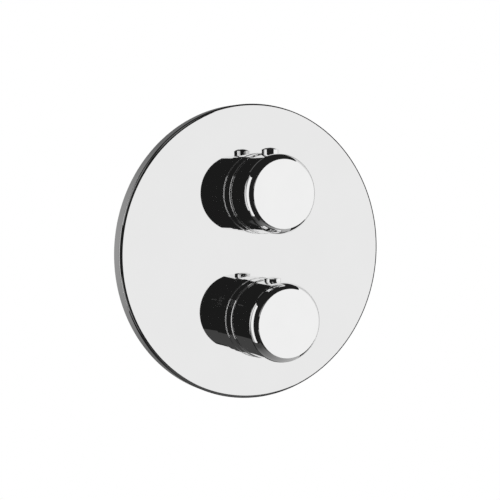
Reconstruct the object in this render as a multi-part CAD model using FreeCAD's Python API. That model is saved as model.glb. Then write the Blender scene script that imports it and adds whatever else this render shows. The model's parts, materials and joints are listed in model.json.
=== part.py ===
"""Concealed thermostatic shower valve with a round faceplate and two turning handles.

A flow handle sits above a temperature handle. Each turns a cartridge in one cast body behind the wall
face. Millimetres, +Z up, +X to the right and +Y into the wall; the origin is the centre of the
faceplate's back edge, on the wall face. Depths are measured along Y from there, so what stands in front
of the wall has a negative depth.
"""
import FreeCAD, Part
import os
from math import asin, copysign, cos, degrees, pi, radians, sin, sqrt

# Faceplate
plate_diameter = 180.0
plate_depth = 8.5
plate_wall = 1.5
plate_edge_width = 2.0
plate_edge_depth = 0.75
plate_seal_width = 5.0
control_spacing = 75.5
control_drop = 2.1

# Clearances, on the radius
turning_gap = 0.08
fixed_gap = 0.1
seal_gap = 0.05
sliding_gap = 0.07
thread_gap = 0.06
collar_gap = 0.15
stop_gap = 0.3
spring_side_gap = 0.25

# Clearances, along an axis
end_gap = 0.3
end_play = 0.05

# Spindles, cartridges and the nuts that hold them
spindle_radius = 4.0
spindle_flange_radius = 7.5
spindle_flange_thickness = 2.0
spindle_float = 0.2
spindle_teeth = 20
spindle_tooth_height = 0.4
spline_margin = 2.0
barrel_radius = 12.5
barrel_length = 32.0
barrel_front_wall = 8.0
spindle_room_radius = 8.0
cartridge_radius = 16.9
port_setback = 16.0
cartridge_tail = 20.0
cap_lip = 1.5
nut_neck_length = 6.0
nut_hex_thickness = 8.0
nut_hex_rim = 2.0
nut_thread_length = 8.0
nut_thread_step = 2.1
seal_cord_radius = 0.8
circlip_thickness = 0.8
circlip_groove_depth = 0.55
circlip_rim = 2.0
circlip_opening = 4.9

# Sleeves, stop rings and collars
sleeve_wall = 1.3
sleeve_overlap = 5.5
sleeve_setback = 3.0
stop_ring_wall = 1.5
stop_rim_thickness = 2.0
stop_spigot_length = 4.5
stop_tooth_length = 1.5
stop_finger_width = 5.0
stop_margin_degrees = 1.5
collar_margin = 0.45
collar_wall = 5.1
collar_height = 10.9
collar_foot_height = 3.6
collar_foot_step = 0.35
collar_foot_edge = 0.3
collar_edge_radius = 0.3
collar_spigot_wall = 1.75
collar_spigot_reach = 1.0

# Handles, their inserts and buttons
handle_diameter = 47.4
handle_flare = 0.2
handle_wall = 2.45
handle_front_wall = 3.0
handle_gap = 0.5
handle_edge_radius = 0.3
handle_band_depth = 5.6
handle_band_width = 3.35
handle_band_bulge = 0.7
upper_reach = 33.4
lower_reach = 37.3
insert_flange_thickness = 2.5
insert_hub_radius = 9.0
insert_back_gap = 2.1
insert_pad_radius = 4.2
insert_pilot_radius = 1.8
grub_radius = 2.0
grub_recess = 1.5
grub_socket_depth = 2.0
button_radius = 5.0
upper_button_height = 4.0
lower_button_height = 2.4
button_dome = 1.8
button_travel = 2.0
button_flange_radius = 5.7
button_flange_thickness = 1.0
button_pocket_radius = 3.9
button_pocket_depth = 3.4
button_spring_radius = 3.0
button_spring_wire = 0.4
button_spring_length = 9.5
button_spring_pitch = 1.4
upper_button_margin = 0.2
lower_button_margin = 1.7
flow_turn = (-90.0, 90.0)
temperature_turn = (-60.0, 180.0)
stop_finger_angle = 90.0

# Cast body
body_front = 12.0
body_chamber_wall = 5.0
body_end_gap = 0.5
body_end_wall = 4.0
port_tube_radius = 13.0
port_thread_radius = 9.3
port_thread_depth = 15.0
inlet_reach = 48.0
outlet_reach = 46.0
outlet_bore_radius = 7.0
bridge_radius = 10.0
bridge_bore_radius = 5.5
web_half_width = 26.0
web_half_height = 8.0
web_depth = 8.0

# Water zones of the cartridges
zone_spacing = 8.5
feed_offset = 3.5
feed_radius = 3.0
feed_count = 4
groove_width = 2.2
groove_depth = 1.7
window_count = 6
window_margin = 0.2

# Thermostat cartridge
adjuster_lead = 5.0
adjuster_thread_radius = 5.0
adjuster_thread_setback = 8.0
adjuster_wall = 1.7
adjuster_floor = 1.5
overload_spring_wire = 0.6
overload_spring_pitch = 1.7
spring_seat_thickness = 1.0
piston_radius = 1.5
piston_hole_radius = 2.5
shuttle_room_radius = 12.0
shuttle_room_lead = 10.0
shuttle_length = 6.0
shuttle_hole_radius = 1.1
shuttle_hole_offset = 7.2
element_neck_radius = 4.5
element_neck_lead = 4.0
element_flange_radius = 6.0
element_flange_thickness = 1.0
bulb_radius = 4.8
bulb_chamfer = 0.6
bulb_end_gap = 2.0
return_spring_radius = 9.3
return_spring_wire = 0.6
return_spring_pitch = 2.8
end_cap_thickness = 1.5

# Diverter cartridge
disc_room_radius = 13.5
moving_disc_gap = 0.5
fixed_disc_gap = 0.2
disc_thickness = 4.0
disc_hole_radius = 2.6
disc_hole_offset = 8.5
disc_pocket_depth = 2.4
exit_lead = 3.0
seat_seal_thickness = 2.0
driver_stem_radius = 6.0
driver_radius = 12.0
driver_thickness = 3.3
drive_pin_radius = 1.5
drive_pin_length = 1.5

# Non-return valves in the inlets
check_radius = 8.1
check_front_wall = 1.5
check_back_wall = 2.0
check_seat_radius = 4.0
check_cavity_radius = 5.9
check_room_length = 2.8
check_shoulder = 1.4
check_travel = 2.0
check_groove = 3.6
check_groove_half = 0.7
check_groove_depth = 1.1
check_hole_radius = 1.2
check_hole_offset = 4.0
check_hole_count = 6
poppet_radius = 4.9
poppet_thickness = 1.45
poppet_stem_radius = 1.5
check_spring_radius = 2.6
check_spring_wire = 0.3
check_spring_turns = 3
retainer_thickness = 1.2
retainer_bore = 5.5
retainer_lip = 0.6
retainer_opening = 4.0

# Mounting bracket
bracket_thickness = 3.0
bracket_half_width = 31.0
bracket_half_height = 44.0
bracket_corner_radius = 6.0
wall_hole_radius = 2.75
wall_hole_x = 26.0
wall_hole_z = 16.0
bracket_screw_x = 20.0
bracket_screw_radius = 2.5
bracket_screw_end_gap = 1.0

# How far a cut runs past the surface it opens, and how far joined shapes run into each other
overrun = 1.0

# Places that follow from the sizes above
ORIGIN = FreeCAD.Vector(0, 0, 0)
INTO_WALL = FreeCAD.Vector(0, 1, 0)
UP = FreeCAD.Vector(0, 0, 1)
RIGHT = FreeCAD.Vector(1, 0, 0)

plate_radius = plate_diameter / 2
plate_front = -plate_depth
upper_z = control_spacing / 2 - control_drop
lower_z = -control_spacing / 2 - control_drop
middle_z = -control_drop

shoulder = body_front + nut_thread_length
port_depth = shoulder + port_setback
cartridge_back = port_depth + cartridge_tail
cap_back = cartridge_back + cap_lip
bore_back = cap_back + body_end_gap
body_back = bore_back + body_end_wall
barrel_front = shoulder - barrel_length
spindle_room_front = barrel_front + barrel_front_wall
hex_front = body_front - nut_hex_thickness
nut_front = hex_front - nut_neck_length
chamber_bore = cartridge_radius + fixed_gap
chamber_radius = chamber_bore + body_chamber_wall
nut_thread_radius = cartridge_radius + nut_thread_step

handle_radius = handle_diameter / 2
collar_radius = handle_radius + collar_margin
collar_bore = collar_radius - collar_wall
sleeve_radius = collar_bore - collar_gap
sleeve_bore = sleeve_radius - sleeve_wall
nut_neck_radius = sleeve_bore - fixed_gap
collar_front = plate_front - collar_height
collar_foot_radius = collar_radius + collar_foot_step
collar_spigot_radius = collar_bore + collar_spigot_wall
plate_hole_radius = collar_spigot_radius + fixed_gap * 2
sleeve_front = collar_front + sleeve_setback
sleeve_back = nut_front + sleeve_overlap
stop_ring_bore = sleeve_bore - stop_ring_wall
stop_rim_front = sleeve_front - stop_rim_thickness
stop_tooth_front = stop_rim_front - stop_tooth_length
stop_tooth_radius = sleeve_radius - stop_gap

handle_back = collar_front - handle_gap
cavity_radius = handle_radius - handle_wall
finger_inner = stop_ring_bore + stop_gap
finger_outer = stop_tooth_radius - stop_gap
hub_back = barrel_front - circlip_thickness - insert_back_gap
button_flange_top = sqrt(cavity_radius ** 2 - button_flange_radius ** 2) - fixed_gap
button_flange_bottom = button_flange_top - button_flange_thickness
spring_pocket_top = button_flange_bottom + button_pocket_depth
spring_seat = spring_pocket_top - button_spring_length

cartridge_ports = (port_depth - zone_spacing, port_depth, port_depth + zone_spacing)
hot_feed_depth = port_depth - feed_offset
cold_feed_depth = port_depth + feed_offset
window_radius = feed_offset - groove_width / 2 - window_margin
bridge_depth = (port_depth + zone_spacing + groove_width / 2 + bore_back) / 2
groove_floor = cartridge_radius - groove_depth

# The diverter's stack, from the water channels forward
seat_seal_back = port_depth - exit_lead
fixed_disc_back = seat_seal_back - seat_seal_thickness
fixed_disc_front = fixed_disc_back - disc_thickness
moving_disc_back = fixed_disc_front - end_play
driver_back = moving_disc_back - disc_thickness
driver_front = driver_back - driver_thickness
moving_disc_radius = disc_room_radius - moving_disc_gap
outlet_holes_x = (-disc_hole_offset, disc_hole_offset)

# The thermostat's column, from the adjusting thread back
adjuster_front = spindle_room_front + adjuster_lead
adjuster_radius = spindle_room_radius - sliding_gap
adjuster_thread_back = shoulder - adjuster_thread_setback
overload_room_radius = adjuster_radius - adjuster_wall
overload_room_front = adjuster_thread_back + adjuster_floor
shuttle_room_front = port_depth - shuttle_room_lead
overload_room_back = shuttle_room_front - adjuster_floor
shuttle_front = port_depth - shuttle_length / 2
shuttle_back = port_depth + shuttle_length / 2
end_cap_front = cartridge_back - end_cap_thickness

# Non-return valves: places along the water's way, and the steps of the inlet that holds them
poppet_front = check_front_wall + end_play
poppet_back = poppet_front + poppet_thickness
check_cavity_back = poppet_back + check_travel + 2 * check_spring_wire * check_spring_turns
check_length = check_cavity_back + check_back_wall
check_start = inlet_reach - port_thread_depth - retainer_thickness
check_end = check_start - check_length
check_bore = check_radius + fixed_gap
retainer_seat_radius = check_bore + retainer_lip


def at(x, y, z):
    return FreeCAD.Vector(x, y, z)


def turned(start, *steps):
    """Solid turned about the Y axis. A step is a (radius, depth) corner, or a pair of them for an arc
    through the first to the second."""
    edges = []
    here = at(*start, 0)
    for step in steps + (start,):
        if isinstance(step[0], tuple):
            through = at(*step[0], 0)
            end = at(*step[1], 0)
            edges.append(Part.Arc(here, through, end).toShape())
        else:
            end = at(*step, 0)
            edges.append(Part.LineSegment(here, end).toShape())
        here = end
    return Part.Face(Part.Wire(edges)).revolve(ORIGIN, INTO_WALL, 360)


def rounding(radius, depth, size, from_degrees, to_degrees):
    """Arc step round the centre (radius, depth), by angles from the outward radius towards +Y."""
    middle = (from_degrees + to_degrees) / 2
    return tuple((radius + size * cos(radians(angle)), depth + size * sin(radians(angle)))
                 for angle in (middle, to_degrees))


def ring(inner, outer, front, back):
    return turned((inner, front), (outer, front), (outer, back), (inner, back))


def rod(radius, start, end):
    span = end - start
    return Part.makeCylinder(radius, span.Length, start, span)


def block(low, high):
    size = high - low
    return Part.makeBox(size.x, size.y, size.z, low)


def o_ring(mean_radius, cord_radius, depth):
    return Part.makeTorus(mean_radius, cord_radius, at(0, depth, 0), INTO_WALL)


def joined(*shapes):
    return shapes[0].multiFuse(list(shapes[1:])).removeSplitter()


def without(shape, *tools):
    return shape.cut(list(tools))


def turned_by(shape, angle):
    """The shape turned about the Y axis, clockwise seen from the front."""
    copy = shape.copy()
    copy.rotate(ORIGIN, INTO_WALL, angle)
    return copy


def round_axis(shape, count):
    """Copies of the shape spaced evenly round the Y axis."""
    return [turned_by(shape, 360.0 / count * index) for index in range(count)]


def moved(shape, x, y, z):
    return shape.translated(at(x, y, z))


def toothed_bar(root, tip, teeth, front, back):
    """Bar along Y with pointed teeth: its corners alternate between two radii."""
    corners = []
    for index in range(2 * teeth + 1):
        radius = tip if index % 2 else root
        angle = pi * index / teeth
        corners.append(at(radius * cos(angle), front, radius * sin(angle)))
    return Part.Face(Part.makePolygon(corners)).extrude(at(0, back - front, 0))


def hexagon_bar(across, front, back):
    corner = across / 2 / cos(pi / 6)
    corners = [at(corner * cos(pi / 3 * k), front, corner * sin(pi / 3 * k)) for k in range(7)]
    return Part.Face(Part.makePolygon(corners)).extrude(at(0, back - front, 0))


def tangent_arcs(start, start_way, end, end_way):
    """Two arcs that meet smoothly and leave and arrive along the given directions."""
    chord = end - start
    ways = start_way + end_way
    a = ways.dot(ways) - 4
    b = -2 * chord.dot(ways)
    reach = (-b - sqrt(b * b - 4 * a * chord.dot(chord))) / (2 * a)
    first = start + start_way * reach
    second = end - end_way * reach
    meeting = (first + second) / 2
    arcs = []
    for near, far, tip in ((start, meeting, first), (meeting, end, second)):
        middle = (near + far) / 2
        height = (tip - middle).Length
        half = (far - near).Length / 2
        rise = half * (sqrt(half ** 2 + height ** 2) - half) / height
        crown = middle + (tip - middle).normalize() * rise
        arcs.append(Part.Arc(near, crown, far).toShape())
    return arcs


def coil(mean_radius, wire_radius, length, pitch):
    """Coil spring along +Y from the origin, as a wire swept along a quarter turn at a time. The pitch is
    widened until a whole number of turns fills the length."""
    turns = int((length - 2 * wire_radius) / pitch)
    lift = (length - 2 * wire_radius) / turns

    def place(angle):
        return at(mean_radius * cos(angle), wire_radius + lift * angle / (2 * pi), mean_radius * sin(angle))

    def way(angle):
        return at(-mean_radius * sin(angle), lift / (2 * pi), mean_radius * cos(angle)).normalize()

    edges = []
    for index in range(4 * turns):
        low, high = pi / 2 * index, pi / 2 * (index + 1)
        edges += tangent_arcs(place(low), way(low), place(high), way(high))
    section = Part.Wire(Part.Circle(place(0), way(0), wire_radius).toShape())
    return Part.Wire(edges).makePipeShell([section], True, False)


def spring_between(front, back, mean_radius, wire_radius, pitch):
    """Coil spring that stands between two depths with a little play at each end."""
    spring = coil(mean_radius, wire_radius, back - front - 2 * end_play, pitch)
    return moved(spring, 0, front + end_play, 0)


def facing_up(shape):
    """The shape with its +Y turned to +Z."""
    copy = shape.copy()
    copy.rotate(ORIGIN, RIGHT, 90)
    return copy


def facing_side(shape, side):
    """The shape with its +Y turned to +X for side 1, or -X for side -1."""
    copy = shape.copy()
    copy.rotate(ORIGIN, UP, -90 * side)
    return copy


# Trim on the wall

def faceplate():
    """Dished plate with two holes. Its front edge falls off in a shallow arc that leaves the flat smoothly."""
    flat_radius = plate_radius - plate_edge_width
    arc_radius = (plate_edge_width ** 2 + plate_edge_depth ** 2) / (2 * plate_edge_depth)
    arc_degrees = degrees(asin(plate_edge_width / arc_radius))
    inner = plate_radius - plate_wall
    dish = turned((0, plate_front), (flat_radius, plate_front),
                  rounding(flat_radius, plate_front + arc_radius, arc_radius, -90, arc_degrees - 90),
                  (plate_radius, 0), (inner, 0), (inner, plate_front + plate_wall),
                  (0, plate_front + plate_wall))
    holes = [rod(plate_hole_radius, at(0, plate_front - overrun, z), at(0, 0, z))
             for z in (upper_z, lower_z)]
    return without(dish, *holes)


def faceplate_seal():
    outer = plate_radius - plate_wall - seal_gap
    return ring(outer - plate_seal_width, outer, plate_front + plate_wall, 0)


def collar():
    edge = collar_edge_radius
    foot_edge = collar_foot_edge
    foot = plate_front - collar_foot_height
    groove = collar_groove_depth()
    half = seal_cord_radius + seal_gap
    floor = sleeve_radius + 2 * half
    return turned((collar_bore, collar_front), (collar_radius - edge, collar_front),
                  rounding(collar_radius - edge, collar_front + edge, edge, -90, 0),
                  (collar_radius, foot), (collar_foot_radius - foot_edge, foot),
                  rounding(collar_foot_radius - foot_edge, foot + foot_edge, foot_edge, -90, 0),
                  (collar_foot_radius, plate_front),
                  (collar_spigot_radius, plate_front),
                  (collar_spigot_radius, plate_front + plate_wall + collar_spigot_reach),
                  (collar_bore, plate_front + plate_wall + collar_spigot_reach),
                  (collar_bore, groove + half), (floor, groove + half),
                  (floor, groove - half), (collar_bore, groove - half))


def collar_groove_depth():
    return (sleeve_front + plate_front - collar_foot_height) / 2


def collar_seal():
    return o_ring(sleeve_radius + seal_cord_radius + seal_gap, seal_cord_radius, collar_groove_depth())


def sleeve():
    return ring(sleeve_bore, sleeve_radius, sleeve_front, sleeve_back)


def stop_ring(turn):
    """Ring on the sleeve's end, with a tooth that the insert's finger meets at both ends of its turn."""
    rim = ring(stop_ring_bore, sleeve_radius, stop_rim_front, sleeve_front)
    spigot = ring(stop_ring_bore, sleeve_bore - seal_gap, sleeve_front, sleeve_front + stop_spigot_length)
    finger_half = degrees(asin(stop_finger_width / 2 / finger_inner))
    free = 360 - (turn[1] - turn[0]) - 2 * finger_half - 2 * stop_margin_degrees
    centre = stop_finger_angle + 180 + (turn[0] + turn[1]) / 2
    corners = [at(stop_ring_bore, stop_tooth_front, 0), at(stop_tooth_radius, stop_tooth_front, 0),
               at(stop_tooth_radius, stop_rim_front, 0), at(stop_ring_bore, stop_rim_front, 0)]
    section = Part.Face(Part.makePolygon(corners + corners[:1]))
    # The section starts on +X, which is 90 degrees clockwise from the top.
    tooth = turned_by(section, centre - 90 - free / 2).revolve(ORIGIN, INTO_WALL, free)
    return joined(rim, spigot, tooth)


def bonnet_nut():
    bore = barrel_radius + fixed_gap
    neck = rod(nut_neck_radius, at(0, nut_front, 0), at(0, body_front, 0))
    head = hexagon_bar(2 * (nut_thread_radius + nut_hex_rim), hex_front, body_front)
    thread = rod(nut_thread_radius, at(0, body_front, 0), at(0, shoulder, 0))
    solid = joined(neck, head, thread)
    return without(solid, rod(bore, at(0, nut_front - overrun, 0), at(0, shoulder + overrun, 0)))


# Handles

def handle(reach, margin):
    front = plate_front - reach
    back_radius = handle_radius - handle_flare
    edge = handle_edge_radius
    face_radius = handle_radius - handle_band_width
    band_start = front + handle_band_depth
    slope = at(-handle_band_width, -handle_band_depth, 0).normalize()
    through = (handle_radius - handle_band_width / 2 - slope.y * handle_band_bulge,
               front + handle_band_depth / 2 + slope.x * handle_band_bulge)
    shell = turned((cavity_radius, handle_back), (back_radius - edge, handle_back),
                   rounding(back_radius - edge, handle_back - edge, edge, 90, 0),
                   (handle_radius, band_start), (through, (face_radius, front)), (0, front),
                   (0, front + handle_front_wall), (cavity_radius, front + handle_front_wall))
    depth = button_depth(margin)
    outside = handle_radius + overrun
    button_hole = rod(button_radius + turning_gap, at(0, depth, 0), at(0, depth, outside))
    grub_hole = rod(grub_radius + turning_gap, at(0, depth, 0), at(0, depth, -outside))
    return without(shell, button_hole, grub_hole)


def button_depth(margin):
    return handle_back - button_flange_radius - margin


def insert_front(reach):
    return plate_front - reach + handle_front_wall


def spline_back(margin):
    return button_depth(margin) + grub_radius + spline_margin


def handle_insert(reach, margin):
    """Splined carrier inside the handle, with the button spring's seat and the stop finger."""
    front = insert_front(reach)
    flange_back = front + insert_flange_thickness
    depth = button_depth(margin)
    flange = rod(cavity_radius - seal_gap, at(0, front, 0), at(0, flange_back, 0))
    hub = rod(insert_hub_radius, at(0, flange_back, 0), at(0, hub_back, 0))
    pad = rod(insert_pad_radius, at(0, depth, spindle_radius + overrun), at(0, depth, spring_seat))
    pilot_top = spring_pocket_top - button_travel - end_play
    pilot = rod(insert_pilot_radius, at(0, depth, spring_seat), at(0, depth, pilot_top))
    half = stop_finger_width / 2
    finger_corner = at(sqrt(finger_outer ** 2 - half ** 2), stop_rim_front - end_gap, half)
    finger = block(at(finger_inner, front, -half), finger_corner)
    solid = joined(flange, hub, pad, pilot, finger)
    root = spindle_radius - spindle_tooth_height + seal_gap
    spline = toothed_bar(root, spindle_radius + seal_gap, spindle_teeth, flange_back, spline_back(margin))
    bore = rod(spindle_radius + turning_gap, at(0, spline_back(margin), 0), at(0, hub_back + overrun, 0))
    grub = rod(grub_radius + thread_gap, at(0, depth, 0), at(0, depth, -insert_hub_radius - overrun))
    return without(solid, spline, bore, grub)


def grub_screw(margin):
    """Screw that presses on the spindle and ends inside the handle's wall, opposite the button."""
    depth = button_depth(margin)
    outer_end = grub_recess - handle_radius
    screw = rod(grub_radius, at(0, depth, -spindle_radius - end_play), at(0, depth, outer_end))
    socket = facing_up(hexagon_bar(grub_radius, -overrun, grub_socket_depth))
    return without(screw, moved(socket, 0, depth, outer_end))


def handle_button(height):
    """Stop button standing along +Z, hollow below for its spring."""
    button_top = handle_radius + height
    side_top = button_top - button_dome
    rise = button_dome
    dome_radius = (button_radius ** 2 + rise ** 2) / (2 * rise)
    half_way = asin(button_radius / dome_radius) / 2
    centre = button_top - dome_radius
    crown = (dome_radius * sin(half_way), centre + dome_radius * cos(half_way))
    return facing_up(turned((button_pocket_radius, button_flange_bottom),
                            (button_flange_radius, button_flange_bottom),
                            (button_flange_radius, button_flange_top), (button_radius, button_flange_top),
                            (button_radius, side_top), (crown, (0, button_top)), (0, spring_pocket_top),
                            (button_pocket_radius, spring_pocket_top)))


def button_spring():
    return facing_up(spring_between(spring_seat, spring_pocket_top, button_spring_radius,
                                    button_spring_wire, button_spring_pitch))


# Spindles and what both cartridges share

def spindle(reach, margin, tail_radius, tail_back):
    """Spindle with a splined front, a circlip groove and a flange behind the housing's front wall."""
    flange_front = spindle_room_front + spindle_float
    flange_back = flange_front + spindle_flange_thickness
    groove_back = barrel_front - 2 * end_play
    groove_front = groove_back - circlip_thickness - 2 * end_play
    groove_radius = spindle_radius - circlip_groove_depth
    shaft = turned((0, spline_back(margin)), (spindle_radius, spline_back(margin)),
                   (spindle_radius, groove_front), (groove_radius, groove_front),
                   (groove_radius, groove_back), (spindle_radius, groove_back),
                   (spindle_radius, flange_front), (spindle_flange_radius, flange_front),
                   (spindle_flange_radius, flange_back), (tail_radius, flange_back),
                   (tail_radius, tail_back), (0, tail_back))
    spline = toothed_bar(spindle_radius - spindle_tooth_height, spindle_radius, spindle_teeth,
                         insert_front(reach) + insert_flange_thickness + end_gap, spline_back(margin))
    return joined(shaft, spline)


def circlip():
    back = barrel_front - 3 * end_play
    front = back - circlip_thickness
    inner = spindle_radius - circlip_groove_depth + seal_gap
    outer = spindle_radius + circlip_rim
    half = circlip_opening / 2
    opening = block(at(-half, front - overrun, -outer - overrun), at(half, back + overrun, 0))
    return without(ring(inner, outer, front, back), opening)


def spindle_seal_depth():
    return (barrel_front + spindle_room_front) / 2


def spindle_seal():
    return o_ring(spindle_radius + seal_cord_radius + seal_gap, seal_cord_radius, spindle_seal_depth())


def cartridge_housing(groove_depths, room_radius, room_front):
    """Stepped barrel with seal grooves, bored for the spindle and for the working room behind it."""
    bore = spindle_radius + turning_gap
    half = groove_width / 2
    outside = []
    for depth in groove_depths:
        outside += [(cartridge_radius, depth - half), (groove_floor, depth - half),
                    (groove_floor, depth + half), (cartridge_radius, depth + half)]
    seal_half = seal_cord_radius + seal_gap
    seal_floor = spindle_radius + 2 * seal_half
    return turned((bore, barrel_front), (barrel_radius, barrel_front), (barrel_radius, shoulder),
                  (cartridge_radius, shoulder), *outside, (cartridge_radius, cartridge_back),
                  (room_radius, cartridge_back), (room_radius, room_front),
                  (spindle_room_radius, room_front), (spindle_room_radius, spindle_room_front),
                  (bore, spindle_room_front), (bore, spindle_seal_depth() + seal_half),
                  (seal_floor, spindle_seal_depth() + seal_half),
                  (seal_floor, spindle_seal_depth() - seal_half), (bore, spindle_seal_depth() - seal_half))


def radial_holes(radius, depth, count):
    hole = rod(radius, at(disc_room_radius / 2, depth, 0), at(cartridge_radius + overrun, depth, 0))
    return round_axis(hole, count)


def cartridge_o_rings(depths):
    mean = (groove_floor + chamber_bore) / 2
    cord = (chamber_bore - groove_floor) / 2 - seal_gap
    return Part.makeCompound([o_ring(mean, cord, depth) for depth in depths])


# Diverter cartridge, behind the flow handle

def diverter_housing():
    room_front = driver_front - end_gap
    housing = cartridge_housing((cartridge_ports[0], cartridge_ports[2]), disc_room_radius, room_front)
    outlets = radial_holes(disc_hole_radius, port_depth, len(outlet_holes_x))
    inlets = radial_holes(feed_radius, bridge_depth, feed_count)
    return without(housing, *outlets, *inlets)


def flow_spindle():
    """Flow spindle with the driver disc whose two pins turn the moving disc."""
    stem = spindle(upper_reach, upper_button_margin, driver_stem_radius, driver_front)
    driver = rod(driver_radius, at(0, driver_front, 0), at(0, driver_back, 0))
    pins = [rod(drive_pin_radius, at(x, driver_back - overrun, 0), at(x, driver_back + drive_pin_length, 0))
            for x in outlet_holes_x]
    return joined(stem, driver, *pins)


def flow_moving_disc():
    """Ceramic disc with a pocket that joins the middle hole to one outlet or the other."""
    disc = rod(moving_disc_radius, at(0, driver_back, 0), at(0, moving_disc_back, 0))
    socket_end = driver_back + drive_pin_length + end_play
    sockets = [rod(drive_pin_radius + seal_gap, at(x, driver_back - overrun, 0), at(x, socket_end, 0))
               for x in outlet_holes_x]
    pocket_front = moving_disc_back - disc_pocket_depth
    pocket_back = moving_disc_back + overrun
    ends = [rod(disc_hole_radius, at(0, pocket_front, z), at(0, pocket_back, z))
            for z in (0, -disc_hole_offset)]
    middle = block(at(-disc_hole_radius, pocket_front, -disc_hole_offset),
                   at(disc_hole_radius, pocket_back, 0))
    return without(disc, *sockets, *ends, middle)


def holed_disc(front, back):
    disc = rod(disc_room_radius - fixed_disc_gap, at(0, front, 0), at(0, back, 0))
    holes = [rod(disc_hole_radius, at(x, front - overrun, 0), at(x, back + overrun, 0))
             for x in (0, *outlet_holes_x)]
    return without(disc, *holes)


def diverter_base():
    """Channel block that brings mixed water to the discs and leads it out to either side."""
    plug = turned((0, seat_seal_back), (disc_room_radius - fixed_gap, seat_seal_back),
                  (disc_room_radius - fixed_gap, cartridge_back), (groove_floor, cartridge_back),
                  (groove_floor, cap_back), (0, cap_back))
    front = seat_seal_back - overrun
    feed = rod(disc_hole_radius, at(0, front, 0), at(0, bridge_depth + feed_radius, 0))
    crossing = rod(feed_radius, at(0, bridge_depth, 0), at(0, bridge_depth, disc_room_radius))
    exits = []
    for x in outlet_holes_x:
        side = copysign(disc_room_radius, x)
        exits.append(rod(disc_hole_radius, at(x, front, 0), at(x, port_depth + disc_hole_radius, 0)))
        exits.append(rod(disc_hole_radius, at(x, port_depth, 0), at(side, port_depth, 0)))
    return without(plug, feed, *round_axis(crossing, feed_count), *exits)


# Thermostat cartridge, behind the temperature handle

def thermostat_housing():
    housing = cartridge_housing(cartridge_ports, shuttle_room_radius, shuttle_room_front)
    hot = radial_holes(window_radius, hot_feed_depth, window_count)
    cold = radial_holes(window_radius, cold_feed_depth, window_count)
    mixed = radial_holes(feed_radius, bridge_depth, feed_count)
    return without(housing, *hot, *cold, *mixed)


def temperature_spindle():
    return spindle(lower_reach, lower_button_margin, adjuster_thread_radius, adjuster_thread_back)


def thermostat_adjuster():
    """Plunger on the spindle's thread, with the overload spring's room behind the thread."""
    thread = adjuster_thread_radius + thread_gap
    return turned((thread, adjuster_front), (adjuster_radius, adjuster_front),
                  (adjuster_radius, shuttle_room_front), (piston_hole_radius, shuttle_room_front),
                  (piston_hole_radius, overload_room_back), (overload_room_radius, overload_room_back),
                  (overload_room_radius, overload_room_front), (thread, overload_room_front))


def overload_spring():
    mean_radius = overload_room_radius - spring_side_gap - overload_spring_wire
    return spring_between(overload_room_front, overload_room_back - spring_seat_thickness, mean_radius,
                          overload_spring_wire, overload_spring_pitch)


def overload_spring_seat():
    return rod(overload_room_radius - spring_side_gap,
               at(0, overload_room_back - spring_seat_thickness, 0), at(0, overload_room_back, 0))


def wax_element():
    """Wax element: piston, neck, flange under the shuttle and sensing bulb."""
    neck_front = shuttle_front - element_neck_lead
    flange_back = shuttle_back + element_flange_thickness
    bulb_back = end_cap_front - bulb_end_gap
    return turned((0, overload_room_back), (piston_radius, overload_room_back), (piston_radius, neck_front),
                  (element_neck_radius, neck_front), (element_neck_radius, shuttle_back),
                  (element_flange_radius, shuttle_back), (element_flange_radius, flange_back),
                  (bulb_radius, flange_back), (bulb_radius, bulb_back - bulb_chamfer),
                  (bulb_radius - bulb_chamfer, bulb_back), (0, bulb_back))


def shuttle():
    outer = shuttle_room_radius - sliding_gap
    spool = ring(element_neck_radius + seal_gap, outer, shuttle_front, shuttle_back)
    hole = rod(shuttle_hole_radius, at(shuttle_hole_offset, shuttle_front - overrun, 0),
               at(shuttle_hole_offset, shuttle_back + overrun, 0))
    return without(spool, *round_axis(hole, window_count))


def return_spring():
    return spring_between(shuttle_back, end_cap_front, return_spring_radius, return_spring_wire,
                          return_spring_pitch)


def thermostat_end_cap():
    return turned((0, end_cap_front), (shuttle_room_radius - fixed_gap, end_cap_front),
                  (shuttle_room_radius - fixed_gap, cartridge_back), (groove_floor, cartridge_back),
                  (groove_floor, cap_back), (0, cap_back))


# Cast body and its bracket

def valve_body():
    """Casting: two cartridge chambers joined by a bridge, with a port to each side of each chamber."""
    solids = []
    cuts = []
    for z, reach in ((upper_z, outlet_reach), (lower_z, inlet_reach)):
        solids.append(rod(chamber_radius, at(0, body_front, z), at(0, body_back, z)))
        cuts.append(rod(nut_thread_radius + fixed_gap, at(0, body_front - overrun, z), at(0, shoulder, z)))
        cuts.append(rod(chamber_bore, at(0, body_front, z), at(0, bore_back, z)))
        for side in (-1, 1):
            solids.append(rod(port_tube_radius, at(0, port_depth, z), at(side * reach, port_depth, z)))
            cuts.append(rod(port_thread_radius, at(side * (reach - port_thread_depth), port_depth, z),
                            at(side * (reach + overrun), port_depth, z)))
    for side in (-1, 1):
        outlet_end = at(side * (outlet_reach + overrun), port_depth, upper_z)
        cuts.append(rod(outlet_bore_radius, at(0, port_depth, upper_z), outlet_end))
        cuts += inlet_cuts(side)
    solids.append(rod(bridge_radius, at(0, bridge_depth, lower_z), at(0, bridge_depth, upper_z)))
    cuts.append(rod(bridge_bore_radius, at(0, bridge_depth, lower_z), at(0, bridge_depth, upper_z)))
    solids.append(block(at(-web_half_width, body_back - web_depth, middle_z - web_half_height),
                        at(web_half_width, body_back, middle_z + web_half_height)))
    for side in (-1, 1):
        x = side * bracket_screw_x
        cuts.append(rod(bracket_screw_radius + thread_gap, at(x, body_back - web_depth - overrun, middle_z),
                        at(x, body_back + overrun, middle_z)))
    return without(joined(*solids), *cuts)


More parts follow.
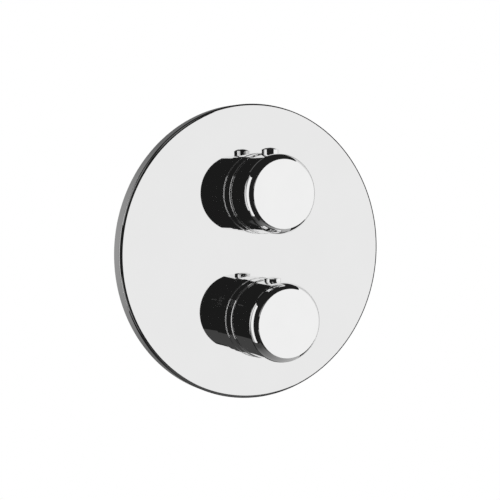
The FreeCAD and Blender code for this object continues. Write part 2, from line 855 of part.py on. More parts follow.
def inlet_cuts(side):
    """Stepped bore of one inlet: the retaining ring's seat, the non-return valve and a feed hole."""
    depth = hot_feed_depth if side < 0 else cold_feed_depth
    room_end = check_end - check_room_length
    steps = ((retainer_seat_radius, check_start + retainer_thickness, check_start),
             (check_bore, check_start, check_end), (check_bore - check_shoulder, check_end, room_end))
    cuts = [rod(radius, at(side * outer, port_depth, lower_z), at(side * inner, port_depth, lower_z))
            for radius, outer, inner in steps]
    cuts.append(rod(feed_radius, at(side * (room_end + overrun), depth, lower_z), at(0, depth, lower_z)))
    return cuts


def mounting_bracket():
    back = body_back + bracket_thickness
    plate = block(at(-bracket_half_width, body_back, middle_z - bracket_half_height),
                  at(bracket_half_width, back, middle_z + bracket_half_height))
    corners = [edge for edge in plate.Edges if abs(edge.tangentAt(edge.FirstParameter).y) > 0.9]
    plate = plate.makeFillet(bracket_corner_radius, corners)
    places = [(x, middle_z + z) for x in (-wall_hole_x, wall_hole_x) for z in (-wall_hole_z, wall_hole_z)]
    holes = [rod(wall_hole_radius, at(x, body_back - overrun, z), at(x, back + overrun, z))
             for x, z in places]
    hole_radius = bracket_screw_radius + turning_gap
    for x in (-bracket_screw_x, bracket_screw_x):
        holes.append(rod(hole_radius, at(x, body_back - overrun, middle_z), at(x, back + overrun, middle_z)))
        holes.append(Part.makeCone(hole_radius, hole_radius + bracket_screw_radius, bracket_screw_radius,
                                   at(x, back - bracket_screw_radius, middle_z), INTO_WALL))
    return without(plate, *holes)


def bracket_screw(x):
    """Countersunk screw whose head is flush with the back of the bracket."""
    back = body_back + bracket_thickness
    radius = bracket_screw_radius
    front = body_back - web_depth + bracket_screw_end_gap
    screw = turned((0, back), (2 * radius, back), (radius, back - radius), (radius, front), (0, front))
    return moved(screw, x, 0, middle_z)


# Non-return valves, modelled along +Y with the water and then turned into their inlets

def check_valve_body():
    floor = check_radius - check_groove_depth
    groove_front = check_groove - check_groove_half
    groove_back = check_groove + check_groove_half
    guide = poppet_stem_radius + turning_gap
    cage = turned((check_seat_radius, 0), (check_radius, 0), (check_radius, groove_front),
                  (floor, groove_front), (floor, groove_back), (check_radius, groove_back),
                  (check_radius, check_length), (guide, check_length), (guide, check_cavity_back),
                  (check_cavity_radius, check_cavity_back), (check_cavity_radius, check_front_wall),
                  (check_seat_radius, check_front_wall))
    hole = rod(check_hole_radius, at(check_hole_offset, check_cavity_back - overrun, 0),
               at(check_hole_offset, check_length + overrun, 0))
    return without(cage, *round_axis(hole, check_hole_count))


def check_valve_poppet():
    stem_end = check_length - end_play
    return turned((0, poppet_front), (poppet_radius, poppet_front), (poppet_radius, poppet_back),
                  (poppet_stem_radius, poppet_back), (poppet_stem_radius, stem_end), (0, stem_end))


def check_valve_spring():
    length = check_cavity_back - poppet_back - 2 * end_play
    # Half a turn more than wanted, as the coil drops the part of a turn that is left over.
    pitch = (length - 2 * check_spring_wire) / (check_spring_turns + 0.5)
    return spring_between(poppet_back, check_cavity_back, check_spring_radius, check_spring_wire, pitch)


def check_valve_o_ring():
    floor = check_radius - check_groove_depth
    return o_ring((floor + check_bore) / 2, (check_bore - floor) / 2 - seal_gap, check_groove)


def check_valve_retainer():
    disc = ring(retainer_bore, retainer_seat_radius - seal_gap, -retainer_thickness, 0)
    half = retainer_opening / 2
    opening = block(at(-half, -retainer_thickness - overrun, 0), at(half, overrun, retainer_seat_radius))
    return without(disc, opening)


def in_inlet(shape, side):
    """A non-return valve's piece put in the left inlet for side -1 or the right one for side 1."""
    return moved(facing_side(shape, -side), side * check_start, port_depth, lower_z)


def upper(shape):
    return moved(shape, 0, 0, upper_z)


def lower(shape):
    return moved(shape, 0, 0, lower_z)


def with_button_place(shape, margin):
    return moved(shape, 0, button_depth(margin), 0)


def both(shape_upper, shape_lower):
    return Part.makeCompound([shape_upper, shape_lower])


parts = {
    "faceplate": faceplate(),
    "faceplate_seal": faceplate_seal(),
    "upper_collar": upper(collar()),
    "lower_collar": lower(collar()),
    "collar_seals": both(upper(collar_seal()), lower(collar_seal())),
    "upper_sleeve": upper(sleeve()),
    "lower_sleeve": lower(sleeve()),
    "flow_stop_ring": upper(stop_ring(flow_turn)),
    "temperature_stop_ring": lower(stop_ring(temperature_turn)),
    "upper_bonnet_nut": upper(bonnet_nut()),
    "lower_bonnet_nut": lower(bonnet_nut()),
    "valve_body": valve_body(),
    "mounting_bracket": mounting_bracket(),
    "bracket_screws": both(bracket_screw(-bracket_screw_x), bracket_screw(bracket_screw_x)),
    "flow_handle": upper(handle(upper_reach, upper_button_margin)),
    "flow_handle_insert": upper(handle_insert(upper_reach, upper_button_margin)),
    "flow_handle_grub_screw": upper(grub_screw(upper_button_margin)),
    "flow_button": upper(with_button_place(handle_button(upper_button_height), upper_button_margin)),
    "flow_button_spring": upper(with_button_place(button_spring(), upper_button_margin)),
    "flow_spindle": upper(flow_spindle()),
    "flow_circlip": upper(circlip()),
    "flow_moving_disc": upper(flow_moving_disc()),
    "diverter_housing": upper(diverter_housing()),
    "diverter_fixed_disc": upper(holed_disc(fixed_disc_front, fixed_disc_back)),
    "diverter_seat_seal": upper(holed_disc(fixed_disc_back, seat_seal_back)),
    "diverter_base": upper(diverter_base()),
    "diverter_o_rings": upper(cartridge_o_rings((cartridge_ports[0], cartridge_ports[2]))),
    "diverter_spindle_seal": upper(spindle_seal()),
    "temperature_handle": lower(handle(lower_reach, lower_button_margin)),
    "temperature_handle_insert": lower(handle_insert(lower_reach, lower_button_margin)),
    "temperature_handle_grub_screw": lower(grub_screw(lower_button_margin)),
    "temperature_button": lower(with_button_place(handle_button(lower_button_height), lower_button_margin)),
    "temperature_button_spring": lower(with_button_place(button_spring(), lower_button_margin)),
    "temperature_spindle": lower(temperature_spindle()),
    "temperature_circlip": lower(circlip()),
    "thermostat_housing": lower(thermostat_housing()),
    "thermostat_end_cap": lower(thermostat_end_cap()),
    "thermostat_o_rings": lower(cartridge_o_rings(cartridge_ports)),
    "thermostat_spindle_seal": lower(spindle_seal()),
    "thermostat_adjuster": lower(thermostat_adjuster()),
    "overload_spring": lower(overload_spring()),
    "overload_spring_seat": lower(overload_spring_seat()),
    "wax_element": lower(wax_element()),
    "thermostat_shuttle": lower(shuttle()),
    "thermostat_return_spring": lower(return_spring()),
    "hot_check_valve_body": in_inlet(check_valve_body(), -1),
    "cold_check_valve_body": in_inlet(check_valve_body(), 1),
    "hot_check_valve_poppet": in_inlet(check_valve_poppet(), -1),
    "cold_check_valve_poppet": in_inlet(check_valve_poppet(), 1),
    "hot_check_valve_spring": in_inlet(check_valve_spring(), -1),
    "cold_check_valve_spring": in_inlet(check_valve_spring(), 1),
    "check_valve_o_rings": both(in_inlet(check_valve_o_ring(), -1), in_inlet(check_valve_o_ring(), 1)),
    "check_valve_retainers": both(in_inlet(check_valve_retainer(), -1), in_inlet(check_valve_retainer(), 1)),
}

os.makedirs("parts", exist_ok=True)
for node, shape in parts.items():
    if not shape.isValid() or min(solid.Volume for solid in shape.Solids) <= 0:
        raise ValueError(node + " is not a sound solid")
    shape.exportStep("parts/" + node + ".step")
print(len(parts), "sub-parts")
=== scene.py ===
"""Looks of the concealed thermostatic shower valve: mirror chrome trim on a white ground.

Metres, in the model's own frame: +Z up, +X to the right, +Y into the wall, and the faceplate's back edge at
Y = 0. The trim mirrors what stands round it, so it is made again here as smooth surfaces, in the places and
sizes that the frame gives. The pieces behind the wall keep their meshes and get their finish here.
"""
import json
from math import asin, ceil, cos, pi, radians, sin, tan

import bpy
import numpy as np
from mathutils import Matrix, Vector


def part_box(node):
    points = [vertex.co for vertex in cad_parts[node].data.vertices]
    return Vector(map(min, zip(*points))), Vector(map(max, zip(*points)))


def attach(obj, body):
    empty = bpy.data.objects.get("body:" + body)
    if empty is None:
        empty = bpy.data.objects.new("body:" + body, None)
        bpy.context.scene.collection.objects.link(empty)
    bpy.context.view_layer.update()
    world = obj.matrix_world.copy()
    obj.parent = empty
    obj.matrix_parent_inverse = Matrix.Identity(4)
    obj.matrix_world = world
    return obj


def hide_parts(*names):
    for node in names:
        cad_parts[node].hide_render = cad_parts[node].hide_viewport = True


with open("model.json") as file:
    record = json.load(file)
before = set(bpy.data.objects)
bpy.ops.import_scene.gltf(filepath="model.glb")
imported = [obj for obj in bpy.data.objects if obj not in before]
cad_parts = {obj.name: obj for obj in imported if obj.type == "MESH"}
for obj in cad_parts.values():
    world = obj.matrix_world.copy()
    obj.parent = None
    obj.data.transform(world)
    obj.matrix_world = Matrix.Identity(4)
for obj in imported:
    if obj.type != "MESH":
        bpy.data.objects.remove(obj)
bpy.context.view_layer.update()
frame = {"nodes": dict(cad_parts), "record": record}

MM = 0.001

# Trim sizes that the frame's boxes don't give
plate_edge_width = 2.0 * MM
plate_edge_depth = 0.75 * MM
plate_wall = 1.5 * MM
plate_hole_radius = 21.0 * MM
spigot_gap = 0.2 * MM
collar_radius = 24.15 * MM
collar_bore = 19.05 * MM
collar_foot_height = 3.6 * MM
collar_foot_edge = 0.2 * MM
upper_collar_edge = 0.35 * MM
lower_collar_edge = 0.8 * MM
handle_wall = 2.45 * MM
handle_front_wall = 3.0 * MM
handle_flare = 0.2 * MM
handle_edge_radius = 0.14 * MM
band_depth = 5.6 * MM
band_width = 3.35 * MM
band_bulge = 0.7 * MM
button_radius = 5.0 * MM
flow_button_dome = 1.5 * MM
temperature_button_dome = 1.0 * MM
button_flange_thickness = 1.0 * MM
button_pocket_radius = 3.9 * MM
button_pocket_depth = 3.4 * MM
button_gap = 0.08 * MM
grub_radius = 2.0 * MM
fine_edge = 0.12 * MM

# Marks on the lower control, at a turn from straight up. Each stroke of the number is a part of an ellipse:
# its centre and its reach, in mm, and the angles of its two ends, in degrees.
mark_width = 0.55 * MM
mark_rise = 0.03 * MM
mark_sink = 0.06 * MM
mark_turn = radians(-64)
tick_start = 2.5 * MM
tick_end = 9.0 * MM
number_strokes = (
    ((-1.6, 1.05), (1.05, 1.05), 160, -80), ((-1.6, -1.2), (1.25, 1.2), 85, -160),
    ((1.6, 1.05), (1.0, 1.05), 0, 360), ((1.6, -1.2), (1.25, 1.2), 0, 360),
)

# Fineness of the surfaces
arc_step = radians(7)
weld_step = 1e-4 * MM
patch_cells = 11
hole_cells = 8
patch_margin = 0.66 * MM
cells_before_patch = 5
cells_after_patch = 2
side_columns = 90
band_steps = 14
dome_steps = 12
collar_columns = 256
button_columns = 96
plate_arc_columns = 256
plate_line_columns = 96
stroke_points = 33
tick_points = 9


# Surfaces

def outline(corners):
    """Points and outward normals of a closed outline, one block of rows for each rounded corner.

    A corner is (radius, depth, rounding). Its arc touches both of its runs, at rounding times the tangent
    of half the turn from the corner. A rounding of None reaches the middle of the shorter run, so that a
    chain of short runs becomes one smooth curve. A rounding of 0 leaves the corner sharp, as two rows at
    one place with different normals.
    """
    places = np.array([corner[:2] for corner in corners], float)
    after = np.roll(places, -1, axis=0)
    area = np.sum(places[:, 0] * after[:, 1] - after[:, 0] * places[:, 1])
    outward = 1 if area > 0 else -1
    blocks = []
    for index, (radius, depth, rounding) in enumerate(corners):
        here = places[index]
        run_in = here - places[index - 1]
        run_out = places[(index + 1) % len(corners)] - here
        way_in = run_in / np.hypot(*run_in)
        way_out = run_out / np.hypot(*run_out)
        turn = np.arctan2(way_in[0] * way_out[1] - way_in[1] * way_out[0], way_in @ way_out)
        if rounding is None:
            reach = min(np.hypot(*run_in), np.hypot(*run_out)) / 2
        else:
            reach = rounding * tan(abs(turn) / 2)
        arc_radius = reach / tan(abs(turn) / 2)
        steps = max(1, ceil(abs(turn) / arc_step)) if reach > 0 else 1
        bend = np.linspace(0, turn, steps + 1)
        ways = np.stack([way_in[0] * np.cos(bend) - way_in[1] * np.sin(bend),
                         way_in[0] * np.sin(bend) + way_in[1] * np.cos(bend)], 1)
        left = np.stack([-ways[:, 1], ways[:, 0]], 1)
        centre = here - way_in * reach + np.sign(turn) * arc_radius * left[0]
        blocks.append((centre - np.sign(turn) * arc_radius * left, -outward * left))
    return blocks


def bulged(start, end, bulge, count):
    """Corners of a smooth arc from start to end that stands out by bulge in its middle: the straight line
    plus bulge times one minus the square of the distance from the middle."""
    (r0, y0), (r1, y1) = start, end
    length = np.hypot(r1 - r0, y1 - y0)
    out = ((y0 - y1) / length, (r1 - r0) / length)
    corners = []
    for step in range(1, count):
        t = step / count
        rise = bulge * (1 - (2 * t - 1) ** 2)
        corners.append((r0 + (r1 - r0) * t + out[0] * rise, y0 + (y1 - y0) * t + out[1] * rise, None))
    return corners


def turned(blocks, angles, axis_x, axis_z):
    """Sheet of outline rows turned about a line along Y: x is the radius times the sine of the angle from
    straight up, and z the radius times its cosine. Angles are one list, or one list for each row."""
    places = np.concatenate([block[0] for block in blocks])
    normals = np.concatenate([block[1] for block in blocks])
    angles = np.broadcast_to(angles, (len(places), np.shape(angles)[-1]))
    points = np.stack([axis_x + places[:, :1] * np.sin(angles), places[:, 1:] + 0 * angles,
                       axis_z + places[:, :1] * np.cos(angles)], -1)
    directions = np.stack([normals[:, :1] * np.sin(angles), normals[:, 1:] + 0 * angles,
                           normals[:, :1] * np.cos(angles)], -1)
    return points, directions, None


def full_turn(columns):
    """Angles of a whole turn in this many columns; the last one is the first one again."""
    return np.linspace(0, 2 * pi, columns + 1)


def upright(sheet, depth, axis_z):
    """The sheet with its +Y turned to +Z, its axis at the given depth."""
    points, directions, keep = sheet
    stood = np.stack([points[..., 0], depth - points[..., 2], axis_z + points[..., 1]], -1)
    ways = np.stack([directions[..., 0], -directions[..., 2], directions[..., 1]], -1)
    return stood, ways, keep


def solid(name, sheets):
    """One mesh of sheets that meet along their edges. Each cell of a sheet is a face whose corners keep the
    sheet's normals. Points in one place are welded, and cells that shrink to a line are left out."""
    corner_sets, normal_sets = [], []
    for points, directions, keep in sheets:
        cells = np.stack([points[:-1, :-1], points[:-1, 1:], points[1:, 1:], points[1:, :-1]], 2)
        ways = np.stack([directions[:-1, :-1], directions[:-1, 1:], directions[1:, 1:],
                         directions[1:, :-1]], 2)
        chosen = np.ones(cells.shape[:2], bool) if keep is None else keep
        corner_sets.append(cells[chosen])
        normal_sets.append(ways[chosen])
    corners = np.concatenate(corner_sets)
    normals = np.concatenate(normal_sets)
    facing = np.cross(corners[:, 2] - corners[:, 0], corners[:, 3] - corners[:, 1])
    inward = np.sum(facing * normals.sum(1), 1) < 0
    corners[inward] = corners[inward][:, ::-1]
    normals[inward] = normals[inward][:, ::-1]
    rounded = np.round(corners.reshape(-1, 3) / weld_step).astype(np.int64)
    keys, ids = np.unique(rounded, axis=0, return_inverse=True)
    ids = ids.reshape(-1, 4)
    vertices = np.zeros((len(keys), 3))
    vertices[ids.ravel()] = corners.reshape(-1, 3)
    # Cells with four corners, and those with one side shrunk to a point, which become triangles
    same = ids == np.roll(ids, -1, axis=1)
    whole = (same.sum(1) == 0) & (ids[:, 0] != ids[:, 2]) & (ids[:, 1] != ids[:, 3])
    shrunk = same.sum(1) == 1
    shift = (same[shrunk].argmax(1)[:, None] + np.array([1, 2, 3])) % 4
    row = np.arange(shrunk.sum())[:, None]
    quads, triangles = ids[whole], ids[shrunk][row, shift]
    faces = quads.tolist() + triangles.tolist()
    loop_normals = np.concatenate([normals[whole].reshape(-1, 3),
                                   normals[shrunk][row, shift].reshape(-1, 3)])
    used, place = np.unique(np.concatenate([quads.ravel(), triangles.ravel()]), return_inverse=True)
    counts = [len(face) for face in faces]
    split = np.cumsum([0] + counts)
    faces = [place[split[k]:split[k + 1]].tolist() for k in range(len(counts))]
    mesh = bpy.data.meshes.new(name)
    mesh.from_pydata(vertices[used].tolist(), [], faces)
    mesh.polygons.foreach_set("use_smooth", np.ones(len(faces), bool))
    mesh.normals_split_custom_set(loop_normals.tolist())
    piece = bpy.data.objects.new(name, mesh)
    bpy.context.scene.collection.objects.link(piece)
    return piece


# Sides with round holes

class BoredSide:
    """Grid over a side of revolution with a round hole at its top and one at its bottom.

    Away from the holes the grid is plain. Round each hole a square patch of cells is bent: ring k of the
    patch goes from the hole's circle, at the innermost ring kept, to the square, at the outermost one.
    """

    def __init__(self, outer_radius, holes_depth, top_hole, bottom_hole, front, back):
        self.outer_radius = outer_radius
        self.depth = holes_depth
        self.holes = (top_hole, bottom_hole)
        self.half = top_hole + patch_margin
        cells = np.arange(-patch_cells, patch_cells + 1)
        patch = np.arcsin(self.half * cells / patch_cells / outer_radius)
        edge = patch[-1]
        right = np.linspace(edge, pi - edge, side_columns)[1:-1]
        self.angles = np.concatenate([patch, right, pi + patch, pi + right, [2 * pi + patch[0]]])
        self.first_columns = (0, len(patch) + len(right))
        before = np.linspace(front, holes_depth - self.half, cells_before_patch + 1)[:-1]
        after = np.linspace(holes_depth + self.half, back, cells_after_patch + 1)[1:]
        self.depths = np.concatenate([before, holes_depth + self.half * cells / patch_cells, after])
        self.first_row = len(before)

    def sheet(self, radius_at, normal, axis_z):
        """The side at the given radius, which depends on the depth, with its normals in the outline's
        plane, and the rings of points round its two holes."""
        angles = np.tile(self.angles, (len(self.depths), 1))
        depths = np.tile(self.depths[:, None], (1, len(self.angles)))
        keep = np.ones((len(self.depths) - 1, len(self.angles) - 1), bool)
        row, column = np.mgrid[-patch_cells:patch_cells + 1, -patch_cells:patch_cells + 1]
        ring = np.maximum(np.maximum(abs(row), abs(column)), 1)
        length = np.maximum(np.hypot(row, column), 1)
        blend = np.clip((ring - hole_cells) / (patch_cells - hole_cells), 0, 1)
        inside = np.maximum(abs(row), abs(column)) <= hole_cells
        lost = inside[:-1, :-1] & inside[1:, :-1] & inside[:-1, 1:] & inside[1:, 1:]
        widening = self.outer_radius / radius_at(self.depth)
        for hole, first, turn in zip(self.holes, self.first_columns, (0, pi)):
            across = ((1 - blend) * hole * widening * column / length
                      + blend * self.half * column / ring)
            along = (1 - blend) * hole * row / length + blend * self.half * row / ring
            rows = slice(self.first_row, self.first_row + 2 * patch_cells + 1)
            columns = slice(first, first + 2 * patch_cells + 1)
            angles[rows, columns] = turn + np.arcsin(across / self.outer_radius)
            depths[rows, columns] = self.depth + along
            keep[rows.start:rows.stop - 1, columns.start:columns.stop - 1] &= ~lost
        radii = radius_at(depths)
        points = np.stack([radii * np.sin(angles), depths, axis_z + radii * np.cos(angles)], -1)
        directions = np.stack([normal[0] * np.sin(angles), normal[1] + 0 * angles,
                               normal[0] * np.cos(angles)], -1)
        steps = np.arange(-hole_cells, hole_cells)
        flat = np.full(2 * hole_cells, hole_cells)
        walk = np.concatenate([np.stack([-flat, steps], 1), np.stack([steps, flat], 1),
                               np.stack([flat, -steps], 1), np.stack([-steps, -flat], 1)])
        walk = np.concatenate([walk, walk[:1]])
        rings = [points[self.first_row + patch_cells + walk[:, 0], first + patch_cells + walk[:, 1]]
                 for first in self.first_columns]
        return (points, directions, keep), rings


def hole_wall(ring_outside, ring_inside, depth):
    """Wall of a hole between its two rings of points, facing the hole's own axis."""
    points = np.stack([ring_outside, ring_inside])
    inward = np.stack([-points[..., 0], depth - points[..., 1], 0 * points[..., 0]], -1)
    inward /= np.linalg.norm(inward, axis=-1, keepdims=True)
    return points, inward, None


# Finishes

# Noise: its detail and roughness, the part of its range that the clouds use, and the height of the fine
# grain next to the coarse one
noise_roughness = 0.55
cloud_detail = 5.0
cloud_low, cloud_high = 0.3, 0.7
coarse_detail = 3.0
fine_detail = 2.0
fine_share = 0.4
ring_detail = 3.0


def group(name, inputs, outputs):
    """A new shader node group with float, colour or vector sockets, and its two end nodes."""
    tree = bpy.data.node_groups.new(name, "ShaderNodeTree")
    for label, kind, value in inputs:
        socket = tree.interface.new_socket(label, in_out="INPUT", socket_type=kind)
        socket.default_value = value
    for label, kind in outputs:
        tree.interface.new_socket(label, in_out="OUTPUT", socket_type=kind)
    return tree, tree.nodes.new("NodeGroupInput"), tree.nodes.new("NodeGroupOutput")


def node(tree, kind, **settings):
    """A new node of this kind, with its settings."""
    made = tree.nodes.new(kind)
    for key, value in settings.items():
        setattr(made, key, value)
    return made


def noise(tree, where, scale, detail):
    """Noise from 0 to 1 over the places given, whose scale is a number or a socket."""
    made = node(tree, "ShaderNodeTexNoise")
    tree.links.new(where, made.inputs["Vector"])
    if isinstance(scale, float):
        made.inputs["Scale"].default_value = scale
    else:
        tree.links.new(scale, made.inputs["Scale"])
    made.inputs["Detail"].default_value = detail
    made.inputs["Roughness"].default_value = noise_roughness
    return made.outputs["Fac"]


def spread(tree, value, low, high):
    """The value from 0 to 1 spread between two sockets' values."""
    made = node(tree, "ShaderNodeMapRange")
    for label, socket in (("Value", value), ("To Min", low), ("To Max", high)):
        tree.links.new(socket, made.inputs[label])
    return made.outputs["Result"]


def mixed(tree, factor, first, second):
    """Two sockets' colours mixed by a factor from 0 to 1."""
    made = node(tree, "ShaderNodeMix", data_type="RGBA")
    tree.links.new(factor, made.inputs["Factor"])
    tree.links.new(first, made.inputs["A"])
    tree.links.new(second, made.inputs["B"])
    return made.outputs["Result"]


def clouding_group():
    """Slow drift between two colours and two roughnesses over the surface, as polish or age leaves it."""
    tree, given, out = group("clouding", [
        ("Vector", "NodeSocketVector", (0, 0, 0)), ("Scale", "NodeSocketFloat", 60.0),
        ("Color A", "NodeSocketColor", (0.8, 0.8, 0.8, 1)),
        ("Color B", "NodeSocketColor", (0.7, 0.7, 0.7, 1)),
        ("Roughness A", "NodeSocketFloat", 0.2), ("Roughness B", "NodeSocketFloat", 0.3)],
        [("Color", "NodeSocketColor"), ("Roughness", "NodeSocketFloat")])
    cloud = noise(tree, given.outputs["Vector"], given.outputs["Scale"], cloud_detail)
    even = node(tree, "ShaderNodeMapRange")
    even.inputs["From Min"].default_value = cloud_low
    even.inputs["From Max"].default_value = cloud_high
    tree.links.new(cloud, even.inputs["Value"])
    share = even.outputs["Result"]
    color = mixed(tree, share, given.outputs["Color A"], given.outputs["Color B"])
    roughness = spread(tree, share, given.outputs["Roughness A"], given.outputs["Roughness B"])
    tree.links.new(color, out.inputs["Color"])
    tree.links.new(roughness, out.inputs["Roughness"])
    return tree


def grain_group():
    """Height of a fine cast or moulded grain: a coarse and a fine noise, mixed."""
    tree, given, out = group("grain", [
        ("Vector", "NodeSocketVector", (0, 0, 0)), ("Coarse", "NodeSocketFloat", 900.0),
        ("Fine", "NodeSocketFloat", 4000.0)], [("Height", "NodeSocketFloat")])
    coarse = noise(tree, given.outputs["Vector"], given.outputs["Coarse"], coarse_detail)
    fine = noise(tree, given.outputs["Vector"], given.outputs["Fine"], fine_detail)
    total = node(tree, "ShaderNodeMath", operation="MULTIPLY_ADD")
    tree.links.new(fine, total.inputs[0])
    total.inputs[1].default_value = fine_share
    tree.links.new(coarse, total.inputs[2])
    tree.links.new(total.outputs[0], out.inputs["Height"])
    return tree


def tool_marks_group():
    """Height of the fine rings that a turning tool leaves round a Y axis: noise that changes quickly along
    Y and hardly at all across it."""
    tree, given, out = group("tool marks", [
        ("Vector", "NodeSocketVector", (0, 0, 0)), ("Rings", "NodeSocketFloat", 6000.0)],
        [("Height", "NodeSocketFloat")])
    parts = node(tree, "ShaderNodeSeparateXYZ")
    tree.links.new(given.outputs["Vector"], parts.inputs[0])
    fast = node(tree, "ShaderNodeMath", operation="MULTIPLY")
    tree.links.new(parts.outputs["Y"], fast.inputs[0])
    tree.links.new(given.outputs["Rings"], fast.inputs[1])
    line = node(tree, "ShaderNodeCombineXYZ")
    tree.links.new(fast.outputs[0], line.inputs["Y"])
    tree.links.new(noise(tree, line.outputs[0], 1.0, ring_detail), out.inputs["Height"])
    return tree


CLOUDING = clouding_group()
GRAIN = grain_group()
TOOL_MARKS = tool_marks_group()


def finish(name, colors, roughness, scale, metallic=0.0, relief=None, relief_values=(), relief_depth=0.0,
           **settings):
    """Material with two colours and two roughnesses, clouded at a scale per metre, and, where relief names
    a height group, the bump that it gives with these values and this depth."""
    made = bpy.data.materials.new(name)
    made.use_nodes = True
    tree = made.node_tree
    shader = tree.nodes["Principled BSDF"]
    shader.inputs["Metallic"].default_value = metallic
    for label, value in settings.items():
        shader.inputs[label.replace("_", " ")].default_value = value
    where = node(tree, "ShaderNodeTexCoord").outputs["Object"]
    cloud = node(tree, "ShaderNodeGroup", node_tree=CLOUDING)
    tree.links.new(where, cloud.inputs["Vector"])
    cloud.inputs["Scale"].default_value = scale
    cloud.inputs["Color A"].default_value = (*colors[0], 1)
    cloud.inputs["Color B"].default_value = (*colors[1], 1)
    cloud.inputs["Roughness A"].default_value = roughness[0]
    cloud.inputs["Roughness B"].default_value = roughness[1]
    tree.links.new(cloud.outputs["Color"], shader.inputs["Base Color"])
    tree.links.new(cloud.outputs["Roughness"], shader.inputs["Roughness"])
    if relief:
        height = node(tree, "ShaderNodeGroup", node_tree=relief)
        tree.links.new(where, height.inputs["Vector"])
        for label, value in relief_values:
            height.inputs[label].default_value = value
        bump = node(tree, "ShaderNodeBump")
        bump.inputs["Distance"].default_value = relief_depth
        bump.inputs["Strength"].default_value = 1.0
        tree.links.new(height.outputs["Height"], bump.inputs["Height"])
        tree.links.new(bump.outputs["Normal"], shader.inputs["Normal"])
    return made


def grey(value, tint=(1, 1, 1)):
    """The value as a colour, times a tint."""
    return tuple(value * part for part in tint)


MATERIALS = {
    "plate chrome": finish("plate chrome", (grey(0.815), grey(0.805)), (0.015, 0.03), 35.0, 1.0),
    "chrome": finish("chrome", (grey(0.87), grey(0.855)), (0.025, 0.04), 70.0, 1.0),
    "cast_brass": finish("cast brass", ((0.60, 0.45, 0.22), (0.50, 0.36, 0.17)), (0.38, 0.52), 90.0, 1.0,
                         GRAIN, (("Coarse", 900.0), ("Fine", 3600.0)), 0.12 * MM),
    "turned_brass": finish("turned brass", ((0.72, 0.55, 0.27), (0.66, 0.49, 0.23)), (0.18, 0.28), 120.0,
                           1.0, TOOL_MARKS, (("Rings", 7000.0),), 0.01 * MM),
    "rubber": finish("rubber", (grey(0.022), grey(0.03)), (0.6, 0.75), 200.0, 0.0,
                     GRAIN, (("Coarse", 2500.0), ("Fine", 9000.0)), 0.01 * MM),
    "foam": finish("foam", (grey(0.05), grey(0.075)), (0.85, 0.95), 150.0, 0.0,
                   GRAIN, (("Coarse", 1400.0), ("Fine", 5000.0)), 0.15 * MM),
    "white_plastic": finish("white plastic", (grey(0.78, (1, 1, 0.96)), grey(0.74, (1, 0.99, 0.94))),
                            (0.32, 0.42), 80.0, 0.0,
                            GRAIN, (("Coarse", 2200.0), ("Fine", 9000.0)), 0.008 * MM),
    "grey_plastic": finish("grey plastic", (grey(0.13, (0.97, 1, 1.03)), grey(0.10, (0.97, 1, 1.03))),
                           (0.4, 0.5), 80.0, 0.0,
                           GRAIN, (("Coarse", 1800.0), ("Fine", 8000.0)), 0.015 * MM),
    "ceramic": finish("ceramic", (grey(0.82, (1, 0.99, 0.95)), grey(0.79, (1, 0.98, 0.94))),
                      (0.12, 0.2), 60.0, Coat_Weight=0.4),
    "steel": finish("zinc plated steel", (grey(0.62, (0.98, 1, 1.02)), grey(0.54, (1, 1, 0.97))),
                    (0.26, 0.4), 140.0, 1.0,
                    GRAIN, (("Coarse", 1500.0), ("Fine", 6000.0)), 0.012 * MM),
    "dial mark": finish("dial mark", (grey(0.055), grey(0.045)), (0.5, 0.6), 400.0, 0.0,
                        GRAIN, (("Coarse", 3000.0), ("Fine", 9000.0)), 0.004 * MM),
    "spring_steel": finish("spring steel", (grey(0.56), grey(0.5)), (0.22, 0.32), 300.0, 1.0),
}

for part in frame["record"]["subparts"]:
    mesh = frame["nodes"][part["node"]].data
    mesh.materials.clear()
    mesh.materials.append(MATERIALS[part["material_slot"]])


def centre_of(name):
    """Middle of a node's box."""
    low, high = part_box(name)
    return (low + high) / 2


def place_piece(piece, body, replaced, material):
    """Gives a piece of the trim its material and body, in place of a node's own mesh."""
    piece.data.materials.append(MATERIALS[material])
    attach(piece, body)
    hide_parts(replaced)


# Trim

